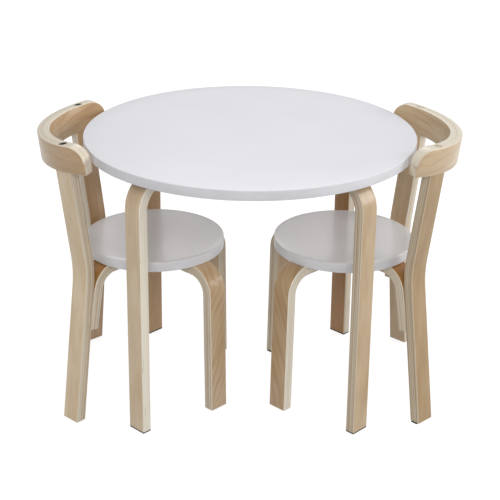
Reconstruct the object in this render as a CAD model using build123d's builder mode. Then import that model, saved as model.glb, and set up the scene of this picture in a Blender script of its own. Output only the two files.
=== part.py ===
"""Children's round table with two bentwood chairs.

The origin is on the floor under the middle of the table top. +Z is up and +X runs
towards the right chair, so each chair has its back to the outside and its seat under
the table. Legs, brackets and posts are laminated strips, bent to shape and screwed on.
"""

import os
from dataclasses import dataclass
from math import cos, radians, sin, tan

from build123d import *

# Stock: laminated birch strips, 38 mm wide, with slightly rounded long edges
STRIP_WIDTH = 38.0
TABLE_STRIP = 18.0  # thickness of the table's strips
CHAIR_STRIP = 19.5  # thickness of the chairs' strips
ARRIS = 1.5  # rounding of a strip's long edges
PAD_CORNER = 1.0
OVERSHOOT = 15.0  # length of strip cut off where it meets the floor or the backrest

# Table
TABLE_RADIUS = 300.0
TABLE_HEIGHT = 502.0
TOP_THICKNESS = 17.5
RIM_ROUNDING = 1.0
TABLE_FOOT_RADIUS = 287.0  # outer face of a leg at the floor, from the middle
TABLE_LEG_LEAN = 0.4  # degrees
TABLE_BEND = 60.0  # outer radius of the bend under the top
TABLE_LIMB_END = 128.0  # inner end of a leg's flat limb, from the middle
TABLE_SCREWS = (150.0, 195.0)  # distances from the middle
TABLE_PAD = 2.8  # thickness of the stick-on pads under the legs
TABLE_PAD_MARGIN = 0.2  # wood left bare around a pad

# Chair: seat and front legs
CHAIR_X = 177.0  # middle of a seat from the middle of the table
SEAT_RADIUS = 130.0
SEAT_HEIGHT = 300.0
SEAT_THICKNESS = 18.0
FRONT_FOOT_RADIUS = 174.5  # outer face of a front leg at the floor, from the seat's middle
FRONT_LEG_LEAN = 1.1  # degrees
CHAIR_BEND = 50.0  # outer radius of the bends under the seat
FRONT_LIMB_END = 48.0
FRONT_SCREWS = (66.0, 100.0)
CHAIR_PAD = 1.6
CHAIR_PAD_MARGIN = 3.0

# Chair: rear posts and their brackets
POST_TURN = 48.0  # degrees from straight back to the way a post's wide face looks
POST_FOOT_BACK = 150.0  # middle of a post's outer face at the floor, behind the seat's middle
POST_FOOT_SIDE = 168.5  # and to the side of it
POST_LOWER_LEAN = 11.2  # degrees, outwards to the floor
POST_UPPER_LEAN = 5.3  # degrees, outwards to the backrest
POST_SIDE_LEAN = 3.6  # degrees, sideways towards the other post
POST_KINK_HEIGHT = 274.0
POST_BEND = 200.0
BRACKET_MEET_HEIGHT = 215.0  # where post and bracket are in line
BRACKET_BOTTOM = 165.0
BRACKET_GAP = 0.3
BRACKET_REACH = 105.0  # flat limb of a bracket, from its corner inwards
BRACKET_SEAT_SCREWS = (58.0, 88.0)  # from the bracket's corner
BRACKET_POST_SCREWS = (184.0, 218.0)  # heights

# Chair: backrest
BACKREST_SETBACK = 29.5  # middle of the backrest's curve behind the seat's middle
BACKREST_LEVEL = 480.0  # and height of its underside there
BACKREST_TILT = 6.2  # degrees, backwards, so that it is square to the posts
BACKREST_RADIUS = 171.5
BACKREST_THICKNESS = 22.5
BACKREST_HEIGHT = 49.0
BACKREST_HALF_ANGLE = 64.0
BACKREST_CORNER = 29.0

# Screws: a flat countersunk wood screw, and a long socket screw for the backrest
HEAD_RADIUS = 4.0
SHANK_RADIUS = 2.0
HEAD_HEIGHT = 2.4
TIP_RADIUS = 0.3
RECESS_LENGTH = 4.4  # cross recess
RECESS_WIDTH = 1.0
RECESS_DEPTH = 1.6
SCREW_BITE = 11.0  # length held by the wood behind the strip
PILOT_SPARE = 1.0  # empty end of a pilot hole
THROUGH = 1.5  # depth of a through hole, in thicknesses of its strip
CLEARANCE = 0.1
LONG_HEAD_RADIUS = 7.2
LONG_HEAD_HEIGHT = 3.0
LONG_HEAD_RECESS = 1.0  # top of the head below the backrest's upper edge
LONG_SHANK_RADIUS = 2.5
LONG_SHANK_LENGTH = 75.0
LONG_PILOT_SPARE = 2.0
SOCKET_RADIUS = 2.9
SOCKET_DEPTH = 2.0
COUNTERBORE_RADIUS = 7.5
PLUG_HEIGHT = 6.0
PLUG_GAP = 0.5  # between a plug and the head below it

UP = Vector(0, 0, 1)
DOWN = Vector(0, 0, -1)
TABLE_UNDERSIDE = TABLE_HEIGHT - TOP_THICKNESS
SEAT_UNDERSIDE = SEAT_HEIGHT - SEAT_THICKNESS
HUNG = (Align.CENTER, Align.CENTER, Align.MAX)  # a solid that reaches back from its place

os.makedirs("parts", exist_ok=True)


@dataclass
class LegShape:
    """An L-shaped bent leg: its distances are from the middle of the board that it carries."""

    underside: float  # height of the board's lower face
    thickness: float
    foot_radius: float  # outer face at the floor
    lean: float  # degrees, outwards to the floor
    bend: float  # outer radius
    limb_end: float  # inner end of the flat limb
    screws: tuple
    pad: float  # thickness of the pad that the leg stands on

    @property
    def foot(self):
        """Middle of the strip at the floor."""
        return self.foot_radius - self.thickness / 2


TABLE_LEG = LegShape(
    underside=TABLE_UNDERSIDE,
    thickness=TABLE_STRIP,
    foot_radius=TABLE_FOOT_RADIUS,
    lean=TABLE_LEG_LEAN,
    bend=TABLE_BEND,
    limb_end=TABLE_LIMB_END,
    screws=TABLE_SCREWS,
    pad=TABLE_PAD,
)
FRONT_LEG = LegShape(
    underside=SEAT_UNDERSIDE,
    thickness=CHAIR_STRIP,
    foot_radius=FRONT_FOOT_RADIUS,
    lean=FRONT_LEG_LEAN,
    bend=CHAIR_BEND,
    limb_end=FRONT_LIMB_END,
    screws=FRONT_SCREWS,
    pad=CHAIR_PAD,
)


def save(piece, name):
    """Label a finished piece and write it under the node's name."""
    piece.part.label = name
    export_step(piece.part, f"parts/{name}.step")


def bent_strip(plane, corners, bend, thickness, holes, cuts):
    """Strip that follows `corners` in `plane`, drilled from its `holes`, cut off level at `cuts`."""
    with BuildPart() as strip:
        with BuildLine(plane) as path:
            FilletPolyline(*corners, radius=bend)
        with BuildSketch(Plane(origin=path.line @ 0, x_dir=plane.z_dir, z_dir=path.line % 0)):
            RectangleRounded(STRIP_WIDTH, thickness, ARRIS)
        sweep()
        for cut in cuts:
            split(bisect_by=cut, keep=Keep.TOP)
        with Locations(*holes):
            CounterSinkHole(
                radius=SHANK_RADIUS + CLEARANCE,
                counter_sink_radius=HEAD_RADIUS + CLEARANCE,
                depth=thickness * THROUGH,
            )
    return strip


def wood_screws(places, length):
    """Countersunk screws with a cross recess: the head is flush at each place, looking along +Z."""
    with BuildPart() as screws:
        with Locations(*places):
            Cone(SHANK_RADIUS, HEAD_RADIUS, HEAD_HEIGHT, align=HUNG)
            Cylinder(SHANK_RADIUS, length - SHANK_RADIUS, align=HUNG)
            Box(RECESS_LENGTH, RECESS_WIDTH, RECESS_DEPTH, align=HUNG, mode=Mode.SUBTRACT)
            Box(RECESS_WIDTH, RECESS_LENGTH, RECESS_DEPTH, align=HUNG, mode=Mode.SUBTRACT)
        with Locations(*[place.offset(SHANK_RADIUS - length) for place in places]):
            Cone(TIP_RADIUS, SHANK_RADIUS, SHANK_RADIUS, align=HUNG)
    return screws


def board(middle, radius, height, thickness, pilots):
    """Round board with a softened rim and pilot holes from below."""
    with BuildPart() as disc:
        with BuildSketch(Plane(origin=(middle.X, middle.Y, height - thickness))):
            Circle(radius)
        extrude(amount=thickness)
        fillet(disc.edges().group_by(Axis.Z)[-1], radius=RIM_ROUNDING)
        fillet(disc.edges().group_by(Axis.Z)[0], radius=RIM_ROUNDING / 2)
        with Locations(*pilots):
            Hole(radius=SHANK_RADIUS + CLEARANCE, depth=SCREW_BITE + PILOT_SPARE)
    return disc


def foot_pad(name, middle, out, strip_thickness, thickness, margin):
    """Thin stick-on pad under the end of a strip whose wide faces look along `out`."""
    with BuildPart() as pad:
        with BuildSketch(Plane(origin=middle, x_dir=out, z_dir=UP)):
            RectangleRounded(strip_thickness - 2 * margin, STRIP_WIDTH - 2 * margin, PAD_CORNER)
        extrude(amount=thickness)
    save(pad, name)


def leg(name, middle, out, shape):
    """L-shaped leg standing out from `middle` in the direction `out`; returns its screw places."""
    plane = Plane(origin=middle, x_dir=out, z_dir=out.cross(UP))
    slope = tan(radians(shape.lean))
    limb_height = shape.underside - shape.thickness / 2
    places = [
        Plane(origin=middle + out * reach + UP * (shape.underside - shape.thickness), x_dir=out, z_dir=DOWN)
        for reach in shape.screws
    ]
    corners = [
        (shape.limb_end, limb_height),
        (shape.foot - limb_height * slope, limb_height),
        (shape.foot + OVERSHOOT * slope, -OVERSHOOT),
    ]
    bend = shape.bend - shape.thickness / 2
    cuts = [Plane.XY.offset(shape.pad)]
    save(bent_strip(plane, corners, bend, shape.thickness, places, cuts), name)
    return places


# ---------------------------------------------------------------- table
TABLE_MIDDLE = Vector(0, 0, 0)
LEG_ANGLES = {"front_left": 225, "front_right": 315, "rear_right": 45, "rear_left": 135}
table_screw_places = []
for corner, angle in LEG_ANGLES.items():
    outwards = Vector(cos(radians(angle)), sin(radians(angle)), 0)
    table_screw_places += leg(f"table_leg_{corner}", TABLE_MIDDLE, outwards, TABLE_LEG)
    pad_middle = outwards * TABLE_LEG.foot
    foot_pad(f"table_pad_{corner}", pad_middle, outwards, TABLE_STRIP, TABLE_PAD, TABLE_PAD_MARGIN)

table_pilots = [place.offset(-TABLE_STRIP) for place in table_screw_places]
save(board(TABLE_MIDDLE, TABLE_RADIUS, TABLE_HEIGHT, TOP_THICKNESS, table_pilots), "table_top")
save(wood_screws(table_screw_places, TABLE_STRIP + SCREW_BITE), "table_leg_screws")


# ---------------------------------------------------------------- chairs
def rest_plane(side):
    """Underside of the backrest, with its origin at the middle of the curve."""
    tilt = radians(BACKREST_TILT)
    return Plane(
        origin=(side * (CHAIR_X + BACKREST_SETBACK), 0, BACKREST_LEVEL),
        x_dir=(cos(tilt), 0, -side * sin(tilt)),
        z_dir=(side * sin(tilt), 0, cos(tilt)),
    )


def post_and_bracket(chair, side, hand, bite):
    """Rear post with its bracket, `hand` -1 at the front of the set, +1 at the rear."""
    end = {-1: "front", 1: "rear"}[hand]
    turn = radians(POST_TURN)
    out = Vector(side * cos(turn), hand * sin(turn), 0)
    inboard = Vector(side * sin(turn), -hand * cos(turn), 0)
    lower = tan(radians(POST_LOWER_LEAN))
    upper = tan(radians(POST_UPPER_LEAN))
    sideways = tan(radians(POST_SIDE_LEAN))
    half = CHAIR_STRIP / 2 / cos(radians(POST_LOWER_LEAN))

    # Post: its plane leans sideways, so lengths along it are a little longer than heights
    face = Vector(side * (CHAIR_X + POST_FOOT_BACK), hand * POST_FOOT_SIDE, 0)
    foot = face - out * half
    along = (UP + inboard * sideways).normalized()
    stretch = 1 / cos(radians(POST_SIDE_LEAN))
    kink = POST_KINK_HEIGHT * stretch
    above = (BACKREST_LEVEL + OVERSHOOT - POST_KINK_HEIGHT) * stretch
    corners = [
        (OVERSHOOT * lower, -OVERSHOOT),
        (-kink * lower, kink),
        (-kink * lower + above * upper, kink + above),
    ]
    rest = rest_plane(side)

    # Bracket: upright plane, face to face with the post at BRACKET_MEET_HEIGHT
    meet = foot + (inboard * sideways - out * lower) * BRACKET_MEET_HEIGHT
    spread = (CHAIR_STRIP + BRACKET_GAP) / cos(radians(POST_LOWER_LEAN))

    def limb_middle(height):
        """How far out the middle of the bracket's leaning limb is at a height."""
        return (BRACKET_MEET_HEIGHT - height) * lower - spread

    bracket_plane = Plane(origin=(meet.X, meet.Y, 0), x_dir=out, z_dir=out.cross(UP))
    limb_height = SEAT_UNDERSIDE - CHAIR_STRIP / 2
    corner = limb_middle(limb_height)
    level = Vector(meet.X, meet.Y, 0)
    inner = (out * -cos(radians(POST_LOWER_LEAN)) - UP * sin(radians(POST_LOWER_LEAN))).normalized()
    seat_places = [
        Plane(
            origin=level + out * (corner - reach) + UP * (SEAT_UNDERSIDE - CHAIR_STRIP), x_dir=out, z_dir=DOWN
        )
        for reach in BRACKET_SEAT_SCREWS
    ]
    post_places = [
        Plane(
            origin=level + out * limb_middle(height) + UP * height + inner * (CHAIR_STRIP / 2),
            x_dir=out.cross(UP),
            z_dir=inner,
        )
        for height in BRACKET_POST_SCREWS
    ]
    bracket_corners = [
        (corner - BRACKET_REACH, limb_height),
        (corner, limb_height),
        (limb_middle(BRACKET_BOTTOM), BRACKET_BOTTOM),
    ]
    bracket = bent_strip(
        bracket_plane,
        bracket_corners,
        CHAIR_BEND - CHAIR_STRIP / 2,
        CHAIR_STRIP,
        seat_places + post_places,
        [],
    )
    save(bracket, f"{chair}_bracket_{end}")

    # Middle of the post's top end, where its upper part meets the backrest and the screw goes in
    upper_start = foot - out * kink * (upper + lower)
    upper_run = inboard * sideways + out * upper * stretch + UP
    top = upper_start + upper_run * ((rest.origin - upper_start).dot(rest.z_dir) / upper_run.dot(rest.z_dir))

    with BuildPart() as post:
        plane = Plane(origin=foot, x_dir=out, z_dir=out.cross(along))
        with BuildLine(plane) as path:
            FilletPolyline(*corners, radius=POST_BEND)
        with BuildSketch(Plane(origin=path.line @ 0, x_dir=plane.z_dir, z_dir=path.line % 0)):
            RectangleRounded(STRIP_WIDTH, CHAIR_STRIP, ARRIS)
        sweep()
        split(bisect_by=Plane.XY.offset(CHAIR_PAD), keep=Keep.TOP)
        split(bisect_by=rest, keep=Keep.BOTTOM)
        with Locations(Plane(origin=top, z_dir=rest.z_dir)):
            Hole(radius=LONG_SHANK_RADIUS + CLEARANCE, depth=bite + LONG_PILOT_SPARE)
        with Locations(*[place.offset(-CHAIR_STRIP) for place in post_places]):
            Hole(radius=SHANK_RADIUS + CLEARANCE, depth=SCREW_BITE + PILOT_SPARE)
    save(post, f"{chair}_post_{end}")
    return foot, out, top, seat_places, post_places


def backrest(chair, side, screw_places, head_depth):
    """Curved board on top of the posts, with rounded upper corners and counterbored screw holes."""
    straight_back = 0 if side > 0 else 180
    start = straight_back - BACKREST_HALF_ANGLE
    turn = 2 * BACKREST_HALF_ANGLE
    with BuildPart() as rest:
        with BuildSketch(rest_plane(side)):
            with BuildLine():
                outer = CenterArc((0, 0), BACKREST_RADIUS, start, turn)
                inner = CenterArc((0, 0), BACKREST_RADIUS - BACKREST_THICKNESS, start, turn)
                Line(outer @ 0, inner @ 0)
                Line(outer @ 1, inner @ 1)
            make_face()
        extrude(amount=BACKREST_HEIGHT)
        upper_face = rest.faces().sort_by(Axis.Z)[-1]
        fillet(upper_face.edges().filter_by(GeomType.LINE), radius=BACKREST_CORNER)
        with Locations(*screw_places):
            CounterBoreHole(
                radius=LONG_SHANK_RADIUS + CLEARANCE,
                counter_bore_radius=COUNTERBORE_RADIUS,
                counter_bore_depth=head_depth + LONG_HEAD_HEIGHT,
                depth=BACKREST_HEIGHT,
            )
    save(rest, f"{chair}_backrest")


def backrest_screws(chair, screw_places, head_depth):
    """Long socket screws with flat heads, sunk by head_depth below the backrest's upper edge."""
    heads = [place.offset(-head_depth) for place in screw_places]
    with BuildPart() as screws:
        with Locations(*heads):
            Cylinder(LONG_HEAD_RADIUS, LONG_HEAD_HEIGHT, align=HUNG)
        with Locations(*[head.offset(-LONG_HEAD_HEIGHT) for head in heads]):
            Cylinder(LONG_SHANK_RADIUS, LONG_SHANK_LENGTH, align=HUNG)
        for head in heads:
            with BuildSketch(head):
                RegularPolygon(radius=SOCKET_RADIUS, side_count=6)
            extrude(amount=-SOCKET_DEPTH, mode=Mode.SUBTRACT)
    save(screws, f"{chair}_backrest_screws")


def hole_plugs(chair, screw_places):
    """Wooden plugs that close the counterbores."""
    with BuildPart() as plugs:
        with Locations(*screw_places):
            Cylinder(COUNTERBORE_RADIUS - CLEARANCE, PLUG_HEIGHT, align=HUNG)
    save(plugs, f"{chair}_hole_plugs")


def make_chair(chair, side, plugged, slip):
    """One chair; two of its pads can have slipped along their feet by `slip`, to the table's side."""
    middle = Vector(side * CHAIR_X, 0, 0)
    head_depth = PLUG_HEIGHT + PLUG_GAP if plugged else LONG_HEAD_RECESS
    bite = LONG_SHANK_LENGTH + head_depth + LONG_HEAD_HEIGHT - BACKREST_HEIGHT
    seat_places = []
    post_places = []
    rest_places = []
    for hand, end in ((-1, "front"), (1, "rear")):
        out = Vector(-side, hand, 0).normalized()
        seat_places += leg(f"{chair}_leg_{end}", middle, out, FRONT_LEG)
        leg_foot = middle + out * FRONT_LEG.foot
        post_foot, post_out, top, bracket_places, screw_places = post_and_bracket(chair, side, hand, bite)
        seat_places += bracket_places
        post_places += screw_places
        rest_places.append(Plane(origin=top, z_dir=rest_plane(side).z_dir).offset(BACKREST_HEIGHT))

        if hand > 0:
            leg_foot += out.cross(UP) * -side * slip
        else:
            post_foot += post_out.cross(UP) * side * slip
        foot_pad(f"{chair}_pad_leg_{end}", leg_foot, out, CHAIR_STRIP, CHAIR_PAD, CHAIR_PAD_MARGIN)
        foot_pad(f"{chair}_pad_post_{end}", post_foot, post_out, CHAIR_STRIP, CHAIR_PAD, CHAIR_PAD_MARGIN)

    pilots = [place.offset(-CHAIR_STRIP) for place in seat_places]
    save(board(middle, SEAT_RADIUS, SEAT_HEIGHT, SEAT_THICKNESS, pilots), f"{chair}_seat")
    save(wood_screws(seat_places, CHAIR_STRIP + SCREW_BITE), f"{chair}_seat_screws")
    save(wood_screws(post_places, CHAIR_STRIP + SCREW_BITE), f"{chair}_post_screws")
    backrest(chair, side, rest_places, head_depth)
    backrest_screws(chair, rest_places, head_depth)
    if plugged:
        hole_plugs(chair, rest_places)


make_chair("chair_left", -1, plugged=False, slip=0.0)
make_chair("chair_right", 1, plugged=True, slip=5.0)
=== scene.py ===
"""Looks of the children's round table with two bentwood chairs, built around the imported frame.

Every bent strip, board, backrest, pad and plug is a mesh of its own that replaces its CAD node.
The wood material reads where a point is in its strip from the mesh's attributes: along the strip,
across its width and through its thickness, in metres. Others say where the cut edges and the
arrises are, and give the piece's own seed and its values of WOOD_KEYS.
"""

from math import cos, pi, radians, sin, tan

import bmesh
import bpy
import numpy as np
from mathutils import Matrix, Vector


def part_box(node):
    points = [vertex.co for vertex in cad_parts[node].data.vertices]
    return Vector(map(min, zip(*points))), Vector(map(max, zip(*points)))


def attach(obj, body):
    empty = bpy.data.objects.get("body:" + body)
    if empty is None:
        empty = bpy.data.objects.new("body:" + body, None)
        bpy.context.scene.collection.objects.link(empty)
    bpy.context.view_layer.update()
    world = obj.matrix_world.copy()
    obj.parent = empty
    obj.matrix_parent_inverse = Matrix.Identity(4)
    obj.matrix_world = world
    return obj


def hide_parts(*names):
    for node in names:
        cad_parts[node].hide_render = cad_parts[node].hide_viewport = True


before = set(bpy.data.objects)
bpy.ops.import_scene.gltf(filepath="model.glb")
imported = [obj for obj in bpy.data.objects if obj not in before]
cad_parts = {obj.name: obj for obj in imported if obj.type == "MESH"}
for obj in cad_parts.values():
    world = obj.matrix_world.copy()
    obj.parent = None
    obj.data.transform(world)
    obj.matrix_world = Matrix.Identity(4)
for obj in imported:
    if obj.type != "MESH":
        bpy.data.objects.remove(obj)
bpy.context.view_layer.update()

MM = 0.001
UP = Vector((0, 0, 1))
CHAIRS = {"chair_left": -1, "chair_right": 1}  # each chair, and its side of the table
ENDS = {-1: "front", 1: "rear"}  # the near and the far half of a chair

# The CAD source's sizes. Leans, turns and tilts are in degrees.
STRIP_WIDTH = 38 * MM
TABLE_STRIP = 18 * MM
CHAIR_STRIP = 19.5 * MM
ARRIS = 1.5 * MM
RIM_ROUNDING = 1 * MM
TABLE_PAD_MARGIN = 0.2 * MM
CHAIR_PAD_MARGIN = 3 * MM
PAD_CORNER = 1 * MM
OVERSHOOT = 15 * MM  # how far a strip's ends reach past where they are sawn off

# Bent legs
TABLE_LEAN = 0.4
TABLE_BEND = 60 * MM
TABLE_FOOT_RADIUS = 287 * MM
TABLE_LIMB_END = 128 * MM
TABLE_SCREWS = (150 * MM, 195 * MM)
FRONT_LEAN = 1.1
CHAIR_BEND = 50 * MM
FRONT_FOOT_RADIUS = 174.5 * MM
FRONT_LIMB_END = 48 * MM
FRONT_SCREWS = (66 * MM, 100 * MM)
LEG_ANGLES = {"front_left": 225, "front_right": 315, "rear_right": 45, "rear_left": 135}

# Posts and brackets
POST_TURN = 48
POST_FOOT_BACK = 150 * MM
POST_FOOT_SIDE = 168.5 * MM
POST_LOWER_LEAN = 11.2
POST_UPPER_LEAN = 5.3
POST_SIDE_LEAN = 3.6
POST_KINK_HEIGHT = 274 * MM
POST_BEND = 200 * MM
BRACKET_MEET_HEIGHT = 215 * MM
BRACKET_BOTTOM = 165 * MM
BRACKET_GAP = 0.3 * MM
BRACKET_REACH = 105 * MM
BRACKET_SEAT_SCREWS = (58 * MM, 88 * MM)
BRACKET_POST_SCREWS = (184 * MM, 218 * MM)

# Backrest
BACKREST_SETBACK = 29.5 * MM
BACKREST_LEVEL = 480 * MM
BACKREST_TILT = 6.2
BACKREST_RADIUS = 171.5 * MM
BACKREST_THICKNESS = 22.5 * MM
BACKREST_HEIGHT = 49 * MM
BACKREST_HALF_ANGLE = 64
BACKREST_CORNER = 29 * MM

# Screw holes and plugs
HEAD_RADIUS = 4.1 * MM
SHANK_RADIUS = 2.1 * MM
HEAD_HEIGHT = 2.4 * MM
LONG_SHANK_RADIUS = 2.6 * MM
LONG_HEAD_HEIGHT = 3 * MM
LONG_HEAD_RECESS = 1 * MM
COUNTERBORE_RADIUS = 7.5 * MM
PLUG_HEIGHT = 6 * MM
PLUG_GAP = 0.5 * MM

# Details that only the looks have
PLY = 2.1 * MM  # thickness of one layer of veneer
PAD_ROUNDING = 0.2 * MM
BAND_ABOVE_UNDERSIDE = 0.3 * MM
BAND_BELOW_TOP = 0.9 * MM
PLUG_CLEARANCE = 0.1 * MM
PLUG_FLAT = 0.6  # share of the radius, where the crown starts to fall
PLUG_CROWN = ((0.3 * MM, 0.05 * MM), (0.0, 0.35 * MM))  # (in from the side, below the middle)
PLUG_LAYERS = 0.3  # layers in a plug's end grain, for each one in as much plywood
SMALLEST_ROUNDING = 0.1 * MM
HAIR = 0.01 * MM  # keeps two rings or corners apart

# Fineness of the meshes
RUN_STEP = 16 * MM  # between the rings of a straight run
BEND_STEP = radians(3)
FEWEST_BEND_STEPS = 4
STRIP_CORNER_STEPS = 4
PAD_CORNER_STEPS = 6
REST_CORNER_STEPS = 3
REST_RINGS = 129
BOARD_SIDES = 192
BOARD_RINGS = (0.25, 0.5, 0.75, 0.9)  # shares of the radius
UPPER_RIM_POINTS = 7
LOWER_RIM_POINTS = 5
PLUG_SIDES = 40
CUTTER_SIDES = 32
CUTTER_START = 1 * MM  # a hole's cutter starts this far outside the wood
CUTTER_DEPTH = 1.5  # and goes right through, in thicknesses of the strip
WOOD_SHARP_ANGLE = 32
BOARD_SHARP_ANGLE = 40
PAD_SHARP_ANGLE = 50

# Wood of each piece: how dark its veneer is and how warm that darkness, how strong its figure is,
# how its grain slants, and how dark the plies on its cut edges are. On the rear table legs and the
# front brackets the dark, warm tone is painted shade, for the shade under the table top and between
# bracket and post.
WOOD_KEYS = ("tone", "warmth", "figure", "slant", "ply")
PLAIN_WOOD = (0.37, 0.6, 0.35, 0.0, 0.4)
WOODS = {
    "table_leg_front_left": (0.14, 0.3, 0.12, 0.0, 0.0),
    "table_leg_front_right": (0.55, 0.15, 0.15, 0.0, 0.6),
    # The rear legs' dark tones are painted shade, for the shade under the table top.
    "table_leg_rear_left": (0.72, 1.0, 0.3, 0.1, 0.4),
    "table_leg_rear_right": (1.0, 1.0, 0.3, -0.1, 0.4),
    "chair_left_leg_front": (0.4, 0.9, 1.0, -0.45, 0.45),
    "chair_left_post_front": (0.0, 0.5, 0.2, 0.0, 0.4),
    "chair_left_post_rear": (0.65, 1.0, 0.3, 0.0, 0.3),
    # The bracket's darkest tone is painted shade, for the shade between the bracket and its post.
    "chair_left_bracket_front": (1.0, 1.0, 0.4, 0.0, 0.35),
    "chair_left_backrest": (0.62, 0.7, 0.5, 0.1, 0.25),
    "chair_right_leg_front": (0.6, 0.6, 0.7, 0.4, 0.1),
    "chair_right_post_front": (0.85, 0.0, 0.3, 0.05, 0.68),
    "chair_right_post_rear": (0.32, 0.9, 0.35, 0.0, 0.4),
    # The bracket's darkest tone is painted shade, for the shade between the bracket and its post.
    "chair_right_bracket_front": (1.0, 1.0, 0.4, 0.0, 0.35),
    "chair_right_backrest": (0.38, 0.2, 0.6, -0.14, 0.15),
}

# Each piece's place in the noises, so that no two have the same grain
SEEDS = {f"table_leg_{corner}": 1.7 + 5.3 * number for number, corner in enumerate(LEG_ANGLES)}
CHAIR_SEEDS = {"chair_left": 40.3, "chair_right": 90.9}
PART_SEEDS = {
    "leg_front": 0.0,
    "leg_rear": 4.4,
    "post_front": 11.0,
    "post_rear": 17.2,
    "bracket_front": 14.1,
    "bracket_rear": 20.3,
    "backrest": 27.0,
    "hole_plugs": 31.0,
}
SEEDS |= {
    f"{chair}_{part}": first + step
    for chair, first in CHAIR_SEEDS.items()
    for part, step in PART_SEEDS.items()
}

# Birch: how many features a metre has, along the strip and then across or through it
FIGURE_SCALE = (7.0, 16.0)
CLOUD_SCALE = (10.0, 34.0)
FIBRE_SCALE = (24.0, 900.0)
FLECK_SCALE = (90.0, 1500.0)
STREAK_SCALE = (40.0, 1300.0)
PATCH_SCALE = 11.0
RINGS_PER_METRE = 64.0
FINE_LINE_WAVE = 2400.0  # radians per metre
FIGURE_SWING = 0.075  # metres that the figure bends the rings by
SEED_SHIFT = 0.013  # metres that the rings move by for each whole step of the seed

# Studio
CAMERA_PLACE = (-0.03554, -2.175, 1.214)
CAMERA_YAW, CAMERA_PITCH, CAMERA_ROLL = 0.0174, 0.4096, 0.01249  # radians
CAMERA_LENS, CAMERA_SENSOR = 90.8, 36.0  # millimetres
CAMERA_CLIP = (0.1, 60)
LIT_PLACE = (0, 0, 0.3)
LIGHTS = {  # place, width in metres, power in watts
    "light_right": ((3, 0, 1.3), 1.6, 37),
    "light_front": ((0, -3.6, 2.6), 1.8, 58),
    "light_back": ((0, 2.8, 2.6), 2.0, 19),
}
SKY_STRENGTH = 0.53
FLOOR_RADIUS = 30
FLOOR_SIDES = 96
FLOORS = {  # height, glow, brightness, whether the camera sees it
    "floor": (0.0, 0.84, 0.3, True),
    "floor_bounce": (-1 * MM, 0.0, 0.35, False),
}


# ---------------------------------------------------------------- materials
class Shader:
    """A material's node tree, with short ways to add nodes."""

    def __init__(self, name):
        self.material = bpy.data.materials.new(name)
        self.material.use_nodes = True
        self.tree = self.material.node_tree
        self.surface = self.tree.nodes["Principled BSDF"]

    def add(self, kind, inputs=(), **settings):
        node = self.tree.nodes.new(kind)
        for key, value in settings.items():
            setattr(node, key, value)
        for key, value in dict(inputs).items():
            self.put(node.inputs[key], value)
        return node

    def put(self, socket, value):
        if isinstance(value, bpy.types.NodeSocket):
            self.tree.links.new(value, socket)
        else:
            socket.default_value = value

    def attribute(self, name):
        return self.add("ShaderNodeAttribute", attribute_name=name).outputs["Fac"]

    def place(self):
        return self.add("ShaderNodeTexCoord").outputs["Object"]

    def math(self, operation, *values):
        node = self.add("ShaderNodeMath", operation=operation)
        for socket, value in zip(node.inputs, values):
            self.put(socket, value)
        return node.outputs[0]

    def plus(self, first, second):
        return self.math("ADD", first, second)

    def times(self, first, second):
        return self.math("MULTIPLY", first, second)

    def vector(self, x, y, z):
        return self.add("ShaderNodeCombineXYZ", {0: x, 1: y, 2: z}).outputs[0]

    def stretched(self, first, second, scale, third):
        """Place in a noise that has `scale` features to a metre of `first` and of `second`."""
        return self.vector(self.times(first, scale[0]), self.times(second, scale[1]), third)

    def noise(self, vector, scale=1.0, detail=2.0, roughness=0.5):
        values = {"Vector": vector, "Scale": scale, "Detail": detail, "Roughness": roughness}
        return self.add("ShaderNodeTexNoise", values).outputs["Fac"]

    def ramp(self, value, low, high, start=0.0, end=1.0):
        inputs = {"Value": value, "From Min": low, "From Max": high, "To Min": start, "To Max": end}
        node = self.add("ShaderNodeMapRange", inputs, interpolation_type="SMOOTHSTEP")
        return node.outputs["Result"]

    def mix(self, factor, first, second, blend="MIX"):
        node = self.add("ShaderNodeMix", data_type="RGBA", blend_type=blend)
        colours = [s for s in node.inputs if s.type == "RGBA"]
        self.put(node.inputs[0], factor)
        self.put(colours[0], first)
        self.put(colours[1], second)
        return [s for s in node.outputs if s.type == "RGBA"][0]

    def bump(self, height, distance, strength):
        values = {"Height": height, "Distance": distance, "Strength": strength}
        self.put(self.surface.inputs["Normal"], self.add("ShaderNodeBump", values).outputs[0])

    def set(self, **values):
        for key, value in values.items():
            self.put(self.surface.inputs[key.replace("_", " ")], value)


def rgb(red, green, blue):
    """An sRGB colour, 0 to 255, as linear values."""
    parts = [c / 255 for c in (red, green, blue)]
    return (*[c / 12.92 if c <= 0.04045 else ((c + 0.055) / 1.055) ** 2.4 for c in parts], 1)


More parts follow.
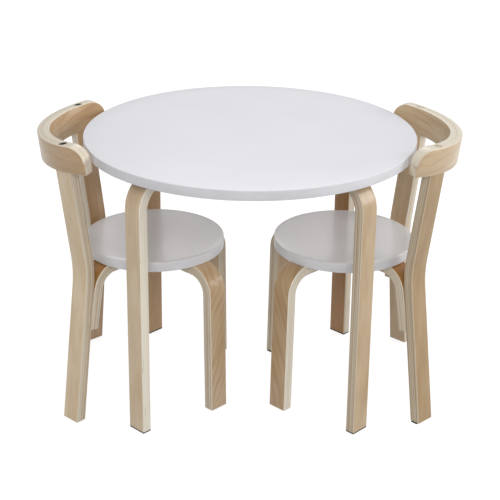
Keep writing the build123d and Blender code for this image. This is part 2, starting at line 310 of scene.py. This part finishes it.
def birch(name, end_grain=False):
    """Lacquered birch plywood: rotary-cut veneer on the wide faces, plies on the cut edges."""
    s = Shader(name)
    along, across, through, seed = (s.attribute(a) for a in ("along", "across", "through", "seed"))
    dark, warmth, figure, slant, ply_dark = (s.attribute(a) for a in WOOD_KEYS)

    # Growth rings drawn out along the strip, bent by a broad noise into the veneer's figure
    drift = s.math("SUBTRACT", s.noise(s.stretched(along, across, FIGURE_SCALE, seed)), 0.5)
    drift = s.times(drift, figure)
    sideways = s.plus(across, s.times(slant, along))
    ring_at = s.plus(sideways, s.times(drift, FIGURE_SWING))
    ring_at = s.plus(ring_at, s.times(seed, SEED_SHIFT))
    rings = s.math("FRACT", s.times(ring_at, RINGS_PER_METRE))
    line = s.times(s.ramp(rings, 0.55, 0.95), s.ramp(rings, 1.0, 0.97))
    patches = s.noise(s.vector(along, across, seed), PATCH_SCALE)
    line = s.times(line, s.ramp(patches, 0.34, 0.62, 0.15, 1.0))
    line = s.times(line, s.times(figure, 0.62))
    fine = s.math("SINE", s.times(ring_at, FINE_LINE_WAVE))
    fine = s.times(s.ramp(fine, 0.0, 1.0), s.math("MULTIPLY_ADD", figure, 0.14, 0.05))

    # Veneer: clouds, ring lines, fine lines, fibres and flecks, from broad to small
    cloud = s.noise(s.stretched(along, sideways, CLOUD_SCALE, seed), detail=3.0)
    fibre = s.noise(s.stretched(along, sideways, FIBRE_SCALE, seed), detail=3.0, roughness=0.6)
    fleck = s.noise(s.stretched(along, sideways, FLECK_SCALE, seed), detail=1.0)
    face = s.mix(s.ramp(cloud, 0.3, 0.7), rgb(217, 192, 156), rgb(234, 214, 183))
    face = s.mix(line, face, rgb(172, 130, 86))
    face = s.mix(fine, face, rgb(188, 150, 106))
    face = s.mix(s.ramp(fibre, 0.35, 0.75, 0.0, 0.30), face, rgb(198, 166, 126))
    face = s.mix(s.ramp(fleck, 0.70, 0.82, 0.0, 0.5), face, rgb(168, 128, 88))

    # Each piece was cut from its own sheet: 0 is the palest veneer and 1 the darkest; on the rear
    # table legs and the front brackets this darkening is painted shade.
    stain = s.mix(warmth, rgb(180, 161, 124), rgb(190, 152, 98))
    face = s.mix(dark, face, s.mix(1.0, face, stain, "MULTIPLY"))

    # Cut plies: alternate layers differ, and each has its own tone, glue lines, fibres and gaps
    sway = s.noise(s.vector(s.times(along, 9.0), seed, 0.0))
    layer = s.plus(s.math("DIVIDE", through, PLY), s.math("MULTIPLY_ADD", sway, 0.5, 40.0))
    index = s.math("FLOOR", layer)
    inside = s.math("FRACT", layer)

    def along_layer(index_step, per_metre, detail=2.0):
        """A noise that runs along each layer by itself."""
        place = s.vector(s.times(index, index_step), seed, s.times(along, per_metre))
        return s.noise(place, detail=detail)

    odd = s.math("MODULO", index, 2.0)
    tone = s.ramp(along_layer(7.7, 1.6, detail=1.0), 0.46, 0.70)
    glue = s.math("MAXIMUM", s.ramp(inside, 0.12, 0.0), s.ramp(inside, 0.90, 1.0))
    glue = s.times(glue, s.ramp(along_layer(3.3, 5.0), 0.35, 0.65, 0.15, 1.0))
    gap = s.times(s.ramp(along_layer(5.1, 14.0), 0.65, 0.68), s.ramp(inside, 0.22, 0.12))
    streak = s.noise(s.stretched(along, through, STREAK_SCALE, seed), detail=3.0, roughness=0.6)
    contrast = s.math("MULTIPLY_ADD", ply_dark, 1.1, 0.15)
    glue_contrast = s.math("MULTIPLY_ADD", ply_dark, 0.9, 0.25)
    cut = s.mix(s.times(odd, contrast), rgb(250, 243, 226), rgb(228, 212, 184))
    cut = s.mix(s.times(tone, contrast), cut, rgb(190, 158, 116))
    cut = s.mix(s.times(glue, glue_contrast), cut, rgb(136, 106, 74))
    cut = s.mix(s.ramp(streak, 0.4, 0.8, 0.0, 0.15), cut, rgb(204, 178, 140))
    cut = s.mix(ply_dark, cut, s.mix(1.0, cut, rgb(196, 184, 166), "MULTIPLY"))
    # The gaps between plies are painted almost black: painted shade inside the voids.
    cut = s.mix(s.times(gap, 0.85), cut, rgb(58, 42, 30))

    if end_grain:
        colour = s.mix(0.15, cut, rgb(196, 160, 116))
        relief = s.math("SUBTRACT", streak, glue)
        pores = streak
    else:
        edge, arris = s.attribute("edge"), s.attribute("arris")
        colour = s.mix(edge, face, cut)
        # Arrises paler: partly sanded pale wood, partly a painted highlight along the rounded
        # corner.
        colour = s.mix(s.times(arris, 0.3), colour, rgb(250, 242, 226))
        sunk = s.times(s.plus(s.times(glue, 0.5), gap), edge)
        relief = s.math("SUBTRACT", s.times(fibre, 0.6), sunk)
        pores = fibre
    s.set(Base_Color=colour, Roughness=s.ramp(pores, 0.2, 0.8, 0.34, 0.5))
    s.set(Coat_Weight=0.4, Coat_Roughness=0.16, IOR=1.5)
    s.bump(relief, 0.00008, 0.5)
    return s.material


def laminate(name, tint, mottle, roughness, coat):
    """Satin white melamine: a faint orange peel and the slightest clouding."""
    s = Shader(name)
    place = s.place()
    cloud = s.noise(place, 7.0, 3.0)
    peel = s.noise(place, 900.0)
    s.set(Base_Color=s.mix(s.ramp(cloud, 0.3, 0.7), rgb(*tint), rgb(*mottle)))
    s.set(Roughness=s.ramp(peel, 0.3, 0.7, roughness, roughness + 0.015))
    s.set(Coat_Weight=coat, Coat_Roughness=0.5 * roughness)
    s.bump(peel, 0.000002, 0.1)
    return s.material


def edge_band(name, tint, mottle):
    """White edge band of a board: fine upright marks left by the cutter under the paint."""
    s = Shader(name)
    turn, height = s.attribute("along"), s.attribute("across")
    marks = s.noise(s.stretched(turn, height, (420.0, 26.0), 0.0), detail=3.0, roughness=0.6)
    cloud = s.noise(s.stretched(turn, height, (14.0, 40.0), 3.0))
    colour = s.mix(s.ramp(cloud, 0.3, 0.7), rgb(*tint), rgb(*mottle))
    colour = s.mix(s.ramp(marks, 0.45, 0.8, 0.0, 0.16), colour, rgb(196, 196, 200))
    s.set(Base_Color=colour, Roughness=s.ramp(marks, 0.3, 0.7, 0.40, 0.54), Coat_Weight=0.08)
    s.bump(marks, 0.00004, 0.5)
    return s.material


def foam_rubber(name):
    """Black foam rubber with open pores."""
    s = Shader(name)
    pores = s.add("ShaderNodeTexVoronoi", {"Vector": s.place(), "Scale": 1400.0})
    cells = pores.outputs["Distance"]
    s.set(Base_Color=s.mix(s.ramp(cells, 0.1, 0.6), rgb(9, 9, 10), rgb(22, 22, 22)))
    s.set(Roughness=s.ramp(cells, 0.0, 0.7, 0.95, 0.75))
    s.bump(cells, 0.00012, 0.6)
    return s.material


def steel(name, dark, light, roughness):
    """Plated or blackened steel with fine turning marks and small stains."""
    s = Shader(name)
    place = s.place()
    turned = s.noise(place, 2600.0)
    stain = s.noise(place, 240.0, 3.0)
    s.set(Base_Color=s.mix(s.ramp(stain, 0.35, 0.7), rgb(*dark), rgb(*light)), Metallic=1.0)
    s.set(Roughness=s.ramp(turned, 0.3, 0.7, roughness, roughness + 0.15))
    s.bump(turned, 0.00003, 0.5)
    return s.material


def floor_paint(name, glow, brightness):
    """Pale studio floor with the faintest clouding."""
    s = Shader(name)
    darker, lighter = ((grey, grey, grey, 1) for grey in (0.98 * brightness, brightness))
    s.set(Base_Color=s.mix(s.noise(s.place(), 2.0), darker, lighter))
    s.set(Roughness=0.95, Emission_Color=(1, 1, 1, 1), Emission_Strength=glow)
    return s.material


MATERIALS = {
    "birch": birch("birch_ply"),
    "birch_end": birch("birch_ply_end", end_grain=True),
    "top": laminate("white_top", (234, 234, 240), (230, 230, 237), 0.4, 0.1),
    "seat": laminate("white_seat", (233, 231, 232), (228, 226, 227), 0.22, 0.45),
    "underside": laminate("white_underside", (226, 225, 226), (219, 218, 219), 0.4, 0.1),
    "band": edge_band("white_edge_band", (219, 219, 223), (227, 227, 231)),
    "pad": foam_rubber("black_foam_rubber"),
    "zinc_steel": steel("zinc_plated_steel", (150, 150, 146), (196, 196, 192), 0.28),
    "black_steel": steel("blackened_steel", (34, 34, 35), (66, 65, 64), 0.35),
}


# ---------------------------------------------------------------- mesh tools
def arc(x, y, radius, start, end, count):
    """`count` points on an arc round (x, y), between two angles in degrees."""
    turns = [radians(a) for a in np.linspace(start, end, count)]
    return [(x + radius * cos(a), y + radius * sin(a)) for a in turns]


def rounded_outline(low, high, half, corner, steps):
    """Rectangle with rounded corners, from `low` to `high` one way and -half to half the other."""
    outline = []
    for x, y, start in (
        (high - corner, half - corner, 0),
        (low + corner, half - corner, 90),
        (low + corner, corner - half, 180),
        (high - corner, corner - half, 270),
    ):
        outline += arc(x, y, corner, start, start + 90, steps + 1)
    return outline


def rounded_path(corners, radius):
    """Points along straight runs in a plane, with an arc of `radius` at each inner corner."""
    points = [np.array(corners[0], float)]
    for before, corner, after in zip(corners, corners[1:], corners[2:]):
        corner = np.array(corner, float)
        back = np.array(before, float) - corner
        ahead = np.array(after, float) - corner
        back /= np.linalg.norm(back)
        ahead /= np.linalg.norm(ahead)
        half = np.arccos(np.clip(back @ ahead, -1, 1)) / 2
        start = corner + back * radius / tan(half)
        centre = corner + (back + ahead) / np.linalg.norm(back + ahead) * radius / sin(half)
        arm = start - centre
        turn = np.sign(np.cross(-back, ahead)) * (pi - 2 * half)
        count = max(FEWEST_BEND_STEPS, int(abs(turn) / BEND_STEP))
        for a in np.linspace(0, turn, count + 1):
            x = arm[0] * cos(a) - arm[1] * sin(a)
            y = arm[0] * sin(a) + arm[1] * cos(a)
            points.append(centre + np.array([x, y]))
    points.append(np.array(corners[-1], float))
    full = [points[0]]
    for a, b in zip(points, points[1:]):
        count = max(1, int(np.linalg.norm(b - a) / RUN_STEP))
        full += [a + (b - a) * k / count for k in range(1, count + 1)]
    return np.array(full)


def revolve(mesh, profile, place, turned, sides):
    """Rings of vertices for a profile of (radius, height) about the Z axis of `turned`.

    Where the radius is 0, the ring is a single vertex."""
    turns = np.linspace(0, 2 * pi, sides, endpoint=False)
    rings = []
    for radius, height in profile:
        used = turns if radius else turns[:1]
        ring = [Vector((radius * cos(a), radius * sin(a), height)) for a in used]
        rings.append([mesh.verts.new(place + turned @ point) for point in ring])
    return rings


def skin(mesh, rings):
    """Joins rings of vertices into a closed surface, and returns the flat caps of its two ends."""
    count = max(len(ring) for ring in rings)
    for first, second in zip(rings, rings[1:]):
        for k in range(count):
            n = (k + 1) % count
            near = [first[k % len(first)], first[n % len(first)]]
            far = [second[n % len(second)], second[k % len(second)]]
            mesh.faces.new(list(dict.fromkeys(near + far)))
    ends = [ring for ring in (rings[0][::-1], rings[-1]) if len(ring) > 1]
    caps = [mesh.faces.new(ring) for ring in ends]
    bmesh.ops.recalc_face_normals(mesh, faces=mesh.faces)
    return caps


def sweep(path, frame_of, section):
    """Closed mesh of `section` carried along `path`; frame_of gives origin, x, y and side axes."""
    origin, ex, ey, side = frame_of
    tangents = np.gradient(path, axis=0)
    tangents[0] = path[1] - path[0]
    tangents[-1] = path[-1] - path[-2]
    tangents /= np.linalg.norm(tangents, axis=1)[:, None]
    mesh = bmesh.new()
    rings = []
    for point, tangent in zip(path, tangents):
        normal = (-tangent[1], tangent[0])
        ring = []
        for across, through in section:
            a, b = point[0] + normal[0] * through, point[1] + normal[1] * through
            ring.append(mesh.verts.new(origin + ex * a + ey * b + side * across))
        rings.append(ring)
    for cap in skin(mesh, rings):
        cap.material_index = 1
    return mesh


def saw(mesh, place, waste):
    """Saws the mesh through at a place, drops the side that `waste` points to, and closes it."""
    geometry = list(mesh.verts) + list(mesh.edges) + list(mesh.faces)
    cut = bmesh.ops.bisect_plane(
        mesh, geom=geometry, plane_co=place, plane_no=waste, clear_outer=True
    )
    rim = [e for e in cut["geom_cut"] if isinstance(e, bmesh.types.BMEdge)]
    for face in bmesh.ops.contextual_create(mesh, geom=rim)["faces"]:
        face.material_index = 1
    bmesh.ops.recalc_face_normals(mesh, faces=mesh.faces)


def new_object(name, mesh, materials=()):
    """Turns a bmesh into an object in the scene."""
    data = bpy.data.meshes.new(name)
    mesh.to_mesh(data)
    mesh.free()
    for material in materials:
        data.materials.append(material)
    piece = bpy.data.objects.new(name, data)
    bpy.context.scene.collection.objects.link(piece)
    return piece


def new_piece(node, kind, mesh, materials):
    """The object that a node gets, with its materials given by their keys."""
    return new_object(f"{node}_{kind}", mesh, [MATERIALS[key] for key in materials])


def stand_for(piece, node, body):
    """The piece rides on the body, in place of the CAD node."""
    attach(piece, body)
    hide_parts(node)


def shade(mesh, sharp_angle):
    """Smooth shading that keeps the edges sharper than `sharp_angle` degrees."""
    mesh.shade_smooth()
    mesh.set_sharp_from_angle(angle=radians(sharp_angle))


def drill(piece, holes):
    """Subtracts round cutters: each is a place, an axis and a profile of (radius, depth)."""
    cutter = bmesh.new()
    for place, axis, profile in holes:
        turned = UP.rotation_difference(axis).to_matrix()
        skin(cutter, revolve(cutter, profile, place, turned, CUTTER_SIDES))
    tool = new_object("cutter", cutter)
    modifier = piece.modifiers.new("holes", "BOOLEAN")
    modifier.object = tool
    modifier.operation = "DIFFERENCE"
    modifier.solver = "EXACT"
    graph = bpy.context.evaluated_depsgraph_get()
    drilled = bpy.data.meshes.new_from_object(piece.evaluated_get(graph), depsgraph=graph)
    piece.modifiers.clear()
    used = (piece.data, tool.data)
    piece.data = drilled
    bpy.data.objects.remove(tool)
    for mesh in used:
        bpy.data.meshes.remove(mesh)


def vertices(mesh, origin):
    """The mesh's vertices, measured from `origin`."""
    points = np.empty(len(mesh.vertices) * 3)
    mesh.vertices.foreach_get("co", points)
    return points.reshape(-1, 3) - np.array(origin)


def write_attributes(mesh, **values):
    """Stores a number at each vertex under each name; a single number goes to all of them."""
    for name, value in values.items():
        layer = mesh.attributes.get(name) or mesh.attributes.new(name, "FLOAT", "POINT")
        layer.data.foreach_set("value", np.full(len(mesh.vertices), value, np.float32))


def write_wood(mesh, node):
    """Stores the seed of a node's piece and its values of WOOD_KEYS."""
    wood = dict(zip(WOOD_KEYS, WOODS.get(node, PLAIN_WOOD)))
    write_attributes(mesh, seed=SEEDS[node], **wood)


def write_place(mesh, path, frame_of):
    """Stores each vertex's place in a strip that follows `path`, and returns those across it."""
    origin, ex, ey, side = (np.array(v) for v in frame_of)
    points = vertices(mesh, origin)
    side = side / np.linalg.norm(side)
    flat = np.stack([points @ ex, points @ ey], axis=1)
    starts, runs = path[:-1], np.diff(path, axis=0)
    lengths = np.linalg.norm(runs, axis=1)
    passed = np.concatenate([[0], np.cumsum(lengths)])
    share = np.einsum("psk,sk->ps", flat[:, None] - starts[None], runs) / lengths**2
    share = np.clip(share, 0, 1)
    nearest = starts[None] + share[..., None] * runs[None]
    best = np.linalg.norm(flat[:, None] - nearest, axis=2).argmin(axis=1)
    row = np.arange(len(flat))
    offset = flat - nearest[row, best]
    through = (runs[best, 0] * offset[:, 1] - runs[best, 1] * offset[:, 0]) / lengths[best]
    along = passed[best] + share[row, best] * lengths[best]
    across = points @ side
    write_attributes(mesh, along=along, across=across, through=through)
    return across


def write_edges(mesh, distance, half, plies_outside):
    """Stores where the plies and the arrises show.

    The arrises lie up to `half` from the middle, and the plies outside or inside them."""
    reach = np.clip((distance - (half - ARRIS)) / ARRIS, 0, 1)
    plies = np.clip(2 * (reach if plies_outside else 1 - reach), 0, 1)
    write_attributes(mesh, edge=plies, arris=2 * reach * np.sqrt(1 - reach**2))


# ---------------------------------------------------------------- pieces
def strip(node, body, corners, bend, thickness, frame_of, cuts=(), holes=()):
    """A bent strip with its sawn ends and screw holes; `bend` is its middle's radius."""
    half = STRIP_WIDTH / 2
    path = rounded_path(corners, bend)
    section = rounded_outline(-half, half, thickness / 2, ARRIS, STRIP_CORNER_STEPS)
    mesh = sweep(path, frame_of, section)
    for place, waste in cuts:
        saw(mesh, place, waste)
    piece = new_piece(node, "wood", mesh, ("birch", "birch_end"))
    if holes:
        drill(piece, holes)
    across = write_place(piece.data, path, frame_of)
    write_edges(piece.data, np.abs(across), half, plies_outside=True)
    write_wood(piece.data, node)
    shade(piece.data, WOOD_SHARP_ANGLE)
    stand_for(piece, node, body)


def countersink(place, axis, thickness):
    """Hole for a flat-headed screw that goes into a strip at `place` along `axis`."""
    flare = (HEAD_RADIUS - SHANK_RADIUS) / HEAD_HEIGHT
    profile = (
        (HEAD_RADIUS + CUTTER_START * flare, -CUTTER_START),
        (SHANK_RADIUS, HEAD_HEIGHT),
        (SHANK_RADIUS, thickness * CUTTER_DEPTH),
    )
    return (place, axis, profile)


def leg(node, pad, body, middle, out, underside, shape):
    """L-shaped leg under a board, standing out from the middle in the direction `out`."""
    thickness, foot_radius, lean, bend, limb_end, screws = shape
    slope = tan(radians(lean))
    foot = foot_radius - thickness / 2
    height = underside - thickness / 2
    corners = [
        (limb_end, height),
        (foot - height * slope, height),
        (foot + OVERSHOOT * slope, -OVERSHOOT),
    ]
    limb = middle + UP * (underside - thickness)
    holes = [countersink(limb + out * reach, UP, thickness) for reach in screws]
    cuts = [(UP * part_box(pad)[1].z, -UP)]
    frame_of = (middle, out, UP, out.cross(UP))
    strip(node, body, corners, bend - thickness / 2, thickness, frame_of, cuts, holes)


def foot_pad(node, body, out, strip_thickness, margin):
    """Thin pad with softened edges, where the CAD pad lies."""
    low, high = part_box(node)
    centre = (low + high) / 2
    sideways = UP.cross(out)
    mesh = bmesh.new()
    rings = []
    for z, inset in (
        (low.z, PAD_ROUNDING),
        (low.z + PAD_ROUNDING, 0),
        (high.z - PAD_ROUNDING, 0),
        (high.z, PAD_ROUNDING),
    ):
        x_half = strip_thickness / 2 - margin - inset
        y_half = STRIP_WIDTH / 2 - margin - inset
        outline = rounded_outline(-x_half, x_half, y_half, PAD_CORNER - inset, PAD_CORNER_STEPS)
        base = Vector((centre.x, centre.y, z))
        rings.append([mesh.verts.new(base + out * x + sideways * y) for x, y in outline])
    skin(mesh, rings)
    piece = new_piece(node, "rubber", mesh, ("pad",))
    shade(piece.data, PAD_SHARP_ANGLE)
    stand_for(piece, node, body)


def board(node, body):
    """Round board with rounded rims, an edge band and skins above and below."""
    low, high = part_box(node)
    middle = (low + high) / 2
    radius = (high.x - low.x) / 2
    upper, lower = RIM_ROUNDING, RIM_ROUNDING / 2
    profile = [(radius * share, high.z) for share in (0.0, *BOARD_RINGS)]
    profile += arc(radius - upper, high.z - upper, upper, 90, 0, UPPER_RIM_POINTS)
    profile += arc(radius - lower, low.z + lower, lower, 0, -90, LOWER_RIM_POINTS)
    profile += [(radius * share, low.z) for share in (*BOARD_RINGS[::-1], 0.0)]
    centre = Vector((middle.x, middle.y, 0))
    mesh = bmesh.new()
    skin(mesh, revolve(mesh, profile, centre, Matrix.Identity(3), BOARD_SIDES))
    for face in mesh.faces:
        z = face.calc_center_median().z
        on_band = low.z + BAND_ABOVE_UNDERSIDE < z < high.z - BAND_BELOW_TOP
        face.material_index = 1 if on_band else (0 if z > middle.z else 2)
    white = "top" if node == "table_top" else "seat"
    piece = new_piece(node, "board", mesh, (white, "band", "underside"))
    points = vertices(piece.data, (middle.x, middle.y, low.z))
    turn = np.abs(np.arctan2(points[:, 1], points[:, 0]))
    write_attributes(piece.data, along=turn * radius, across=points[:, 2])
    shade(piece.data, BOARD_SHARP_ANGLE)
    stand_for(piece, node, body)


def rest_frame(side, seat_x):
    """Origin of the backrest's underside, in the middle of its curve, and its three axes."""
    tilt = radians(BACKREST_TILT)
    origin = Vector((seat_x + side * BACKREST_SETBACK, 0, BACKREST_LEVEL))
    back = Vector((cos(tilt), 0, -side * sin(tilt)))
    return origin, back, Vector((0, 1, 0)), Vector((side * sin(tilt), 0, cos(tilt)))


def post_foot(side, hand, seat_x):
    """Middle of a post's foot, the level direction it faces, and the one it leans in sideways."""
    turn = radians(POST_TURN)
    out = Vector((side * cos(turn), hand * sin(turn), 0))
    inboard = Vector((side * sin(turn), -hand * cos(turn), 0))
    face = Vector((seat_x + side * POST_FOOT_BACK, hand * POST_FOOT_SIDE, 0))
    foot = face - out * (CHAIR_STRIP / 2 / cos(radians(POST_LOWER_LEAN)))
    return foot, out, inboard


def post(chair, side, hand, seat_x, pad):
    """Rear post, sawn off on its pad and under the backrest; returns the middle of its top."""
    foot, out, inboard = post_foot(side, hand, seat_x)
    lower, upper = tan(radians(POST_LOWER_LEAN)), tan(radians(POST_UPPER_LEAN))
    sideways = tan(radians(POST_SIDE_LEAN))
    stretch = 1 / cos(radians(POST_SIDE_LEAN))
    kink = POST_KINK_HEIGHT * stretch
    above = (BACKREST_LEVEL + OVERSHOOT - POST_KINK_HEIGHT) * stretch
    corners = [
        (OVERSHOOT * lower, -OVERSHOOT),
        (-kink * lower, kink),
        (-kink * lower + above * upper, kink + above),
    ]
    rising = (UP + inboard * sideways).normalized()
    frame_of = (foot, out, rising, out.cross(rising))
    rest_origin, _, _, rest_up = rest_frame(side, seat_x)
    cuts = [(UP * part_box(pad)[1].z, -UP), (rest_origin, rest_up)]
    strip(f"{chair}_post_{ENDS[hand]}", chair, corners, POST_BEND, CHAIR_STRIP, frame_of, cuts)
    start = foot - out * kink * (upper + lower)
    run = inboard * sideways + out * upper * stretch + UP
    return start + run * ((rest_origin - start).dot(rest_up) / run.dot(rest_up))


def bracket(chair, side, hand, seat_x, seat_underside):
    """Short bent strip under the seat, with its free limb against the post's inner face."""
    lean = radians(POST_LOWER_LEAN)
    foot, out, inboard = post_foot(side, hand, seat_x)
    meet = foot + (inboard * tan(radians(POST_SIDE_LEAN)) - out * tan(lean)) * BRACKET_MEET_HEIGHT
    level = Vector((meet.x, meet.y, 0))
    spread = (CHAIR_STRIP + BRACKET_GAP) / cos(lean)

    def limb_middle(height):
        return (BRACKET_MEET_HEIGHT - height) * tan(lean) - spread

    height = seat_underside - CHAIR_STRIP / 2
    corner = limb_middle(height)
    corners = [
        (corner - BRACKET_REACH, height),
        (corner, height),
        (limb_middle(BRACKET_BOTTOM), BRACKET_BOTTOM),
    ]
    upper_limb = level + out * corner + UP * (seat_underside - CHAIR_STRIP)
    holes = [
        countersink(upper_limb - out * reach, UP, CHAIR_STRIP) for reach in BRACKET_SEAT_SCREWS
    ]
    inner = (out * -cos(lean) - UP * sin(lean)).normalized()
    for z in BRACKET_POST_SCREWS:
        middle = level + out * limb_middle(z) + UP * z
        holes.append(countersink(middle + inner * (CHAIR_STRIP / 2), -inner, CHAIR_STRIP))
    node = f"{chair}_bracket_{ENDS[hand]}"
    bend = CHAIR_BEND - CHAIR_STRIP / 2
    frame_of = (level, out, UP, out.cross(UP))
    strip(node, chair, corners, bend, CHAIR_STRIP, frame_of, holes=holes)


def backrest(chair, side, seat_x, tops, head_depth):
    """Curved laminated board with rounded upper corners and counterbored holes."""
    node = f"{chair}_backrest"
    origin, back, across, up = rest_frame(side, seat_x)
    half_height, half_thickness = BACKREST_HEIGHT / 2, BACKREST_THICKNESS / 2
    half_angle = radians(BACKREST_HALF_ANGLE)
    middle = origin + up * half_height
    radius = BACKREST_RADIUS - half_thickness
    inner_radius = BACKREST_RADIUS - BACKREST_THICKNESS
    straight_back = 0 if side > 0 else pi
    turns = np.linspace(-1, 1, REST_RINGS) * half_angle + straight_back
    path = np.stack([np.cos(turns), np.sin(turns)], axis=1) * radius
    mesh = bmesh.new()
    rings = []
    for a in turns:
        to_end = (half_angle - abs(a - straight_back)) * inner_radius
        into_corner = min(max(BACKREST_CORNER - to_end, 0), BACKREST_CORNER)
        drop = BACKREST_CORNER - (BACKREST_CORNER**2 - into_corner**2) ** 0.5
        top = half_height - drop
        rounding = min(ARRIS, max((top + half_height) / 2 - HAIR, SMALLEST_ROUNDING))
        section = rounded_outline(-half_height, top, half_thickness, rounding, REST_CORNER_STEPS)
        outward = back * cos(a) + across * sin(a)
        rings.append([mesh.verts.new(middle + outward * (radius + t) + up * z) for z, t in section])
    skin(mesh, rings)
    piece = new_piece(node, "wood", mesh, ("birch", "birch_end"))
    bore = head_depth + LONG_HEAD_HEIGHT
    profile = (
        (COUNTERBORE_RADIUS, -CUTTER_START),
        (COUNTERBORE_RADIUS, bore),
        (LONG_SHANK_RADIUS, bore + HAIR),
        (LONG_SHANK_RADIUS, BACKREST_HEIGHT + CUTTER_START),
    )
    drill(piece, [(top + up * BACKREST_HEIGHT, -up, profile) for top in tops])
    points = vertices(piece.data, middle)
    from_curve = np.abs(np.hypot(points @ np.array(back), points @ np.array(across)) - radius)
    write_place(piece.data, path, (middle, back, across, up))
    write_edges(piece.data, from_curve, half_thickness, plies_outside=False)
    write_wood(piece.data, node)
    shade(piece.data, WOOD_SHARP_ANGLE)
    stand_for(piece, node, chair)


def hole_plugs(chair, side, seat_x, tops):
    """Turned wooden plugs with a slight crown, one mesh for both."""
    node = f"{chair}_hole_plugs"
    _, back, across, up = rest_frame(side, seat_x)
    turned = Matrix((back, across, up)).transposed()
    radius = COUNTERBORE_RADIUS - PLUG_CLEARANCE
    profile = [(0.0, 0.0), (PLUG_FLAT * radius, 0.0)]
    profile += [(radius - inset, -drop) for inset, drop in PLUG_CROWN]
    profile += [(radius, -PLUG_HEIGHT), (0.0, -PLUG_HEIGHT)]
    mesh = bmesh.new()
    for top in tops:
        place = top + up * BACKREST_HEIGHT
        skin(mesh, revolve(mesh, profile, place, turned, PLUG_SIDES))
    piece = new_piece(node, "wood", mesh, ("birch_end",))
    x, y, z = vertices(piece.data, (0, 0, 0)).T
    write_attributes(piece.data, along=y, across=z, through=x * PLUG_LAYERS)
    write_wood(piece.data, node)
    shade(piece.data, WOOD_SHARP_ANGLE)
    stand_for(piece, node, chair)


# ---------------------------------------------------------------- assembly
TABLE_SHAPE = (
    TABLE_STRIP, TABLE_FOOT_RADIUS, TABLE_LEAN, TABLE_BEND, TABLE_LIMB_END, TABLE_SCREWS
)
FRONT_SHAPE = (
    CHAIR_STRIP, FRONT_FOOT_RADIUS, FRONT_LEAN, CHAIR_BEND, FRONT_LIMB_END, FRONT_SCREWS
)


def make_table():
    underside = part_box("table_top")[0].z
    for corner, angle in LEG_ANGLES.items():
        node, pad = f"table_leg_{corner}", f"table_pad_{corner}"
        out = Vector((cos(radians(angle)), sin(radians(angle)), 0))
        leg(node, pad, "table", Vector((0, 0, 0)), out, underside, TABLE_SHAPE)
        foot_pad(pad, "table", out, TABLE_STRIP, TABLE_PAD_MARGIN)
    board("table_top", "table")


def make_chair(chair, side):
    low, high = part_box(f"{chair}_seat")
    seat_x = round((low.x + high.x) / 2, 4)
    middle = Vector((seat_x, 0, 0))
    tops = []
    for hand, end in ENDS.items():
        node, pad = f"{chair}_leg_{end}", f"{chair}_pad_leg_{end}"
        out = Vector((-side, hand, 0)).normalized()
        leg(node, pad, chair, middle, out, low.z, FRONT_SHAPE)
        foot_pad(pad, chair, out, CHAIR_STRIP, CHAIR_PAD_MARGIN)
        pad = f"{chair}_pad_post_{end}"
        post_out = post_foot(side, hand, seat_x)[1]
        tops.append(post(chair, side, hand, seat_x, pad))
        bracket(chair, side, hand, seat_x, low.z)
        foot_pad(pad, chair, post_out, CHAIR_STRIP, CHAIR_PAD_MARGIN)
    board(f"{chair}_seat", chair)
    plugged = f"{chair}_hole_plugs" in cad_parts
    head_depth = PLUG_HEIGHT + PLUG_GAP if plugged else LONG_HEAD_RECESS
    backrest(chair, side, seat_x, tops, head_depth)
    if plugged:
        hole_plugs(chair, side, seat_x, tops)


def finish_screws():
    """The screws keep their CAD shape and get their metal."""
    for name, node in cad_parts.items():
        if name.endswith("_screws"):
            metal = "black_steel" if "backrest" in name else "zinc_steel"
            node.data.materials.clear()
            node.data.materials.append(MATERIALS[metal])


# ---------------------------------------------------------------- studio
def make_camera():
    """Camera in front of the set, a little to the left and looking down at it."""
    yaw, pitch, roll = CAMERA_YAW, CAMERA_PITCH, CAMERA_ROLL
    ahead = Vector((sin(yaw) * cos(pitch), cos(yaw) * cos(pitch), -sin(pitch)))
    right = Vector((cos(yaw), -sin(yaw), 0))
    above = right.cross(ahead)
    x_axis = right * cos(roll) + above * sin(roll)
    y_axis = above * cos(roll) - right * sin(roll)
    data = bpy.data.cameras.new("camera")
    data.sensor_width = CAMERA_SENSOR
    data.lens = CAMERA_LENS
    data.clip_start, data.clip_end = CAMERA_CLIP
    camera = bpy.data.objects.new("camera", data)
    bpy.context.scene.collection.objects.link(camera)
    turned = Matrix((x_axis, y_axis, -ahead)).transposed().to_4x4()
    camera.matrix_world = Matrix.Translation(CAMERA_PLACE) @ turned
    bpy.context.scene.camera = camera


def make_light(name, place, size, power):
    """Round soft light that points at the middle of the set."""
    data = bpy.data.lights.new(name, "AREA")
    data.shape = "DISK"
    data.size = size
    data.energy = power
    light = bpy.data.objects.new(name, data)
    bpy.context.scene.collection.objects.link(light)
    light.location = place
    towards = Vector(LIT_PLACE) - Vector(place)
    light.rotation_euler = towards.to_track_quat("-Z", "Y").to_euler()


def make_floor(name, height, glow, brightness, seen):
    mesh = bmesh.new()
    bmesh.ops.create_circle(mesh, cap_ends=True, segments=FLOOR_SIDES, radius=FLOOR_RADIUS)
    floor = new_object(name, mesh, [floor_paint("pale_" + name, glow, brightness)])
    floor.location.z = height
    floor.visible_camera = seen
    floor.visible_diffuse = floor.visible_shadow = not seen


def make_studio():
    """Pale floor, three soft lights and an even sky.

    The floor that the camera sees glows a little, so that it is nearly white, and throws no light
    on the set. The other lies just under it, where the camera doesn't see it, and throws the light
    back as a plain floor would."""
    for name, settings in FLOORS.items():
        make_floor(name, *settings)
    for name, settings in LIGHTS.items():
        make_light(name, *settings)
    world = bpy.data.worlds.new("studio")
    world.use_nodes = True
    sky = world.node_tree.nodes["Background"]
    sky.inputs["Color"].default_value = (1, 1, 1, 1)
    sky.inputs["Strength"].default_value = SKY_STRENGTH
    bpy.context.scene.world = world
    bpy.context.scene.view_settings.view_transform = "Standard"


make_table()
for chair, side in CHAIRS.items():
    make_chair(chair, side)
finish_screws()
make_camera()
make_studio()
